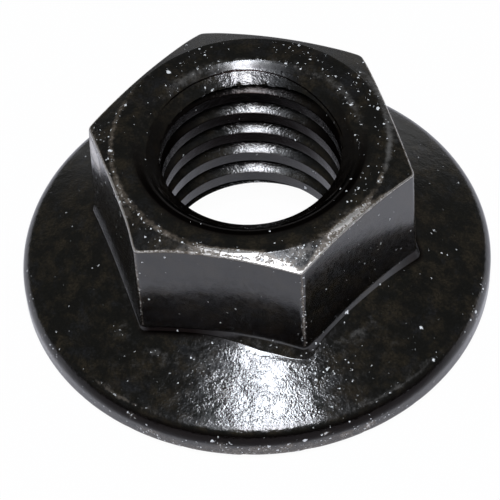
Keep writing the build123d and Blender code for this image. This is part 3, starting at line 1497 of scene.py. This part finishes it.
        # Painted shade on the rim's upright band.
        rim_painted_shade = self.painted_shade.on_rim(angle, low, f.edge_radius)
        return points, np.vstack([
            layered(len(low), low_wear, crinkle.cone, rim_painted_shade, 0.0, rough.rim),
            layered(len(cone), 0.0, crinkle.cone, 0.0, 0.0, rough.cone),
            layered(len(fillet), 0.0, crinkle.flat, band.painted_shade, band.smear_and_sheen, rough.foot),
            high_rows,
        ])

    def bore_leads(self, turns: np.ndarray) -> np.ndarray:
        """Find the leads of the bore's rows at every column.

        A row that passes close to the line where the thread runs out into a countersink is
        drawn onto that line, so that the line is crisp.

        Args:
            turns: the columns' turns.

        Returns:
            One row of leads for each row of the bore.
        """
        b, (low, high) = self.bore, self.seams
        first = math.floor((low - b.phase) / b.pitch) - 2
        last = math.ceil((high - b.phase) / b.pitch) + 1
        cycle = b.cycle()
        rows = np.concatenate([cycle + k for k in range(first, last)])
        leads = np.repeat(rows[:, None], len(turns), axis=1)
        fine = np.linspace(low, high, self.run_out_steps)
        ends = np.maximum(b.seam_radius - (fine - low) * b.gain,
                          b.seam_radius - (high - fine) * b.gain)
        for j, turn in enumerate(turns):
            lead = (fine - b.phase) / b.pitch - turn
            above = b.thread_radius(lead, turn) > ends
            for k in np.nonzero(above[1:] != above[:-1])[0]:
                crossing = (lead[k] + lead[k + 1]) / 2
                leads[int(np.argmin(np.abs(rows - crossing))), j] = crossing
        return leads

    def bore_part(self, turns: np.ndarray, rows: int) -> tuple[np.ndarray, np.ndarray, list[Face]]:
        """Make the bore between the seams.

        Args:
            turns: the columns' turns.
            rows: how many vertices a column of the shell has.

        Returns:
            The turn and the lead of each new vertex, and the faces, which use the shell's
            own vertices at the seams.
        """
        leads, (low, high) = self.bore_leads(turns), self.seams
        height = self.bore.height(leads, turns)
        count, total = len(turns), len(leads)
        first = np.arange(count) * rows
        index = np.where(height <= low, first, first + rows - 1)
        inside = (height > low) & (height < high)
        index[inside] = count * rows + np.arange(inside.sum())
        # Past the last column comes the first one again, one groove further on.
        shift, missing = len(self.bore.cycle()), -1
        index = np.column_stack([index, np.full(total, missing)])
        index[:total - shift, count] = index[shift:, 0]
        faces = []
        for m in range(total - 1):
            for j in range(count):
                ring = (index[m, j], index[m + 1, j], index[m + 1, j + 1], index[m, j + 1])
                face = tuple(int(v) for k, v in enumerate(ring) if v != ring[k - 1])
                if missing not in face and len(set(face)) >= 3:
                    faces.append(face)
        return np.broadcast_to(turns, leads.shape)[inside], leads[inside], faces

    def plain_mesh(self) -> bpy.types.Object:
        """Build the nut's mesh before the thread is wound and the teeth are cut.

        Returns:
            The object, with the attributes that the rules and the finish read.
        """
        angles = self.columns()
        made = [self.shell_column(a) for a in angles]
        points, layers = (np.vstack(part) for part in zip(*made))
        wear, grain, painted_shade, smear_and_sheen, dull = layers.T
        rows, shell = len(made[0][0]), len(points)
        starts = range(0, shell, rows)
        faces = [(a + i, c + i, c + i + 1, a + i + 1)
                 for a, c in zip(starts, [*starts[1:], 0]) for i in range(rows - 1)]
        turn, lead, bore_faces = self.bore_part(angles / 360, rows)
        at = np.vstack([self.pushed(points), np.zeros((len(turn), 3))])
        mesh = bpy.data.meshes.new("nut_plain")
        mesh.from_pydata((at * MM).tolist(), [], faces + bore_faces, shade_flat=False)
        wear, chips, smear_and_sheen = self.rubbed(points, wear, smear_and_sheen)
        marks = {
            Layer.TURN: (0.0, turn), Layer.LEAD: (0.0, lead), Layer.IN_BORE: (0.0, 1.0),
            Layer.UNDERSIDE: (self.teeth.under(points), 0.0), Layer.WEAR: (wear, 0.0),
            Layer.CHIPS: (chips, self.sprinkle),
            Layer.GRAIN: (self.crinkle.strengthened(points, grain), self.crinkle.bore),
            # Painted shade on the shell and in the bore.
            Layer.PAINTED_SHADE: (painted_shade, self.painted_shade.in_bore(self.bore, turn, lead)),
            Layer.SMEAR_AND_SHEEN: (smear_and_sheen, 0.0), Layer.DULL: (dull, self.dull.bore),
        }
        for layer, (on_shell, in_bore) in marks.items():
            held = mesh.attributes.new(layer.value, "FLOAT", "POINT")
            both = np.concatenate([np.broadcast_to(on_shell, shell),
                                   np.broadcast_to(in_bore, len(turn))])
            held.data.foreach_set("value", both.astype(np.float32))
        piece = bpy.data.objects.new("flange_nut_body", mesh)
        bpy.context.scene.collection.objects.link(piece)
        LOG.info("nut: %d columns of %d rows, %d faces of the shell, %d of the bore",
                 len(angles), rows, len(faces), len(bore_faces))
        return piece

    def pushed(self, points: np.ndarray) -> np.ndarray:
        """Move the shell's points by the nut's dents.

        Args:
            points: the shell's points.

        Returns:
            The moved points.
        """
        moved = points.copy()
        way = points[:, :2] / np.hypot(points[:, 0], points[:, 1])[:, None]
        for dent in self.dents:
            share = dent.share(points)
            moved[:, :2] += way * (share * dent.push[0])[:, None]
            moved[:, 2] += share * dent.push[1]
        return moved

    def rubbed(self, points: np.ndarray, wear: np.ndarray, smear_and_sheen: np.ndarray) -> np.ndarray:
        """Add the rubbed places to what the profile gives.

        Args:
            points: the shell's points.
            wear: the wear that the profile gives.
            smear_and_sheen: the smears and painted sheen that the profile gives.

        Returns:
            The wear, the chips, and the smears and painted sheen at each point.
        """
        total = layered(len(points), wear, self.sprinkle, smear_and_sheen)
        for rub in self.rubs:
            total += rub.share(points)[:, None] * (rub.wear, rub.chips, rub.smear_and_sheen)
        return total.T

    def build(self) -> bpy.types.Object:
        """Build the nut, dress it and put it in the place of the CAD node.

        Returns:
            The nut's object.
        """
        piece = self.plain_mesh()
        NutRules(self.rule_sizes()).apply(piece, self.finish.build())
        piece.data.name = piece.name
        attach(piece, "root")
        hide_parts("flange_nut")
        return piece


# --- The studio ---


def directions(azimuth: float, elevation: float) -> tuple[Vector, Vector, Vector]:
    """Find how something stands that looks at the nut.

    Args:
        azimuth: its direction from the nut, in degrees from -Y towards +X.
        elevation: its degrees above the horizon.

    Returns:
        Its right, its up and the direction in which it stands.
    """
    az, el = math.radians(azimuth), math.radians(elevation)
    way = Vector((math.sin(az) * math.cos(el), -math.cos(az) * math.cos(el), math.sin(el)))
    across = Vector((math.cos(az), math.sin(az), 0.0))
    return across, way.cross(across), way


def stand(name: str, data: Any, axes: Sequence[Vector], place: Vector) -> bpy.types.Object:
    """Put a lamp or a camera in the scene.

    Args:
        name: the object's name.
        data: the lamp or the camera.
        axes: its right, its up and its back.
        place: where it stands, in metres.

    Returns:
        The object.
    """
    piece = bpy.data.objects.new(name, data)
    piece.matrix_world = Matrix.Translation(place) @ Matrix(axes).transposed().to_4x4()
    bpy.context.scene.collection.objects.link(piece)
    return piece


@dataclass(frozen=True)
class Softbox:
    """A lamp seen from the nut in one direction: sizes in degrees, its distance in metres."""

    name: str
    azimuth: float
    elevation: float
    width: float
    length: float
    radiance: float
    colour: Colour
    distance: float = 0.6

    def build(self) -> None:
        """Build the lamp, aimed at the nut."""
        axes = directions(self.azimuth, self.elevation)
        lamp = bpy.data.lights.new(self.name, "AREA")
        lamp.shape = "RECTANGLE"
        lamp.size = 2 * self.distance * math.tan(math.radians(self.width / 2))
        lamp.size_y = 2 * self.distance * math.tan(math.radians(self.length / 2))
        lamp.energy = self.radiance * math.pi * lamp.size * lamp.size_y
        lamp.color = self.colour
        stand(self.name, lamp, axes, axes[2] * self.distance)


@dataclass(frozen=True)
class Viewpoint:
    """Where the camera stands and what it takes in, in degrees and millimetres.

    The focal length and the square frame's side are in pixels, and the near and far ends of
    the view in metres.
    """

    azimuth: float = 15.10
    elevation: float = 50.87
    roll: float = -3.51
    distance: float = 301.55
    focal_pixels: float = 6135.2
    frame_pixels: int = 500
    target: tuple[float, float, float] = (-0.319, 0.0, 1.839)
    sensor: float = 36.0
    view: Span = (0.01, 20.0)

    def build(self) -> None:
        """Build the camera and look through it."""
        right, up, back = directions(self.azimuth, self.elevation)
        roll = math.radians(self.roll)
        across = right * math.cos(roll) + up * math.sin(roll)
        over = up * math.cos(roll) - right * math.sin(roll)
        lens = bpy.data.cameras.new("camera")
        lens.sensor_width = self.sensor
        lens.lens = self.focal_pixels * self.sensor / self.frame_pixels
        lens.clip_start, lens.clip_end = self.view
        place = (Vector(self.target) + back * self.distance) * MM
        bpy.context.scene.camera = stand("camera", lens, (across, over, back), place)


@dataclass
class Studio:
    """A white floor in a dim room, with a key lamp and a top lamp, both with a soft halo.

    The sweep is a paler part of the room behind the nut. Its top fades over degrees above
    the horizon, and its front and sides over parts of the unit vector that points at it.
    """

    floor: PaleFloor = PaleFloor()
    viewpoint: Viewpoint = Viewpoint()
    lamps: tuple[Softbox, ...] = (
        Softbox("key_softbox", 18.5, 62.0, 10.5, 17.0, 25.0, (0.94, 0.94, 1.0)),
        Softbox("key_halo", 9.0, 62.0, 30.0, 19.0, 1.5, (0.88, 0.93, 1.0), 0.62),
        Softbox("key_veil", 9.0, 62.0, 46.0, 22.0, 0.5, (0.85, 0.9, 1.0), 0.64),
        Softbox("top_softbox", 17.0, 77.5, 7.6, 8.0, 60.0, (0.88, 0.92, 1.0)),
        Softbox("top_halo", 12.0, 77.5, 25.0, 10.0, 0.7, (0.85, 0.9, 1.0), 0.62),
    )
    room: Colour = (0.085, 0.085, 0.08)
    sweep: Colour = (0.45, 0.45, 0.45)
    sweep_top: Span = (8.0, 20.0)
    sweep_front: Span = (0.0, 0.3)
    sweep_left: Span = (-0.75, -0.45)
    sweep_right: Span = (0.15, 0.4)
    floor_reach: float = 3.0
    floor_sides: int = 64

    def build(self) -> None:
        """Build floor, lamps, room and camera."""
        self.build_floor()
        for lamp in self.lamps:
            lamp.build()
        self.build_room()
        bpy.context.scene.view_settings.view_transform = "Standard"
        self.viewpoint.build()

    def build_floor(self) -> None:
        """Lay the floor as one large disc."""
        sides = self.floor_sides
        ring = [(*polar(self.floor_reach, 360 * k / sides).tolist(), 0.0) for k in range(sides)]
        mesh = bpy.data.meshes.new("floor")
        mesh.from_pydata(ring, [], [tuple(range(sides))])
        board = bpy.data.objects.new("floor", mesh)
        board.data.materials.append(self.floor.build())
        bpy.context.scene.collection.objects.link(board)

    def build_room(self) -> None:
        """Light the room round the nut, a little more on its sweep."""
        world = bpy.data.worlds.new("room")
        world.use_nodes = True
        desk = NodeDesk(world.node_tree)
        x, y, z = desk.parts(desk.add("ShaderNodeTexCoord").outputs["Generated"])
        top = [math.sin(math.radians(a)) for a in self.sweep_top]
        share = desk.times(desk.fall(z, *top), desk.ramp(y, *self.sweep_front),
                           desk.ramp(x, *self.sweep_left), desk.fall(x, *self.sweep_right))
        glow = desk.blend(share, self.room, self.sweep)
        world.node_tree.links.new(glow, world.node_tree.nodes["Background"].inputs["Color"])
        bpy.context.scene.world = world


def main() -> None:
    """Load the frame, build the nut and the studio, and log the nut's faces."""
    logging.basicConfig(level=logging.INFO, format="%(name)s: %(message)s")
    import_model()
    piece = FlangeNut().build()
    LOG.info("%s: %d faces", piece.name, len(piece.data.polygons))
    Studio().build()
    LOG.info("studio built")


if __name__ == "__main__":
    main()
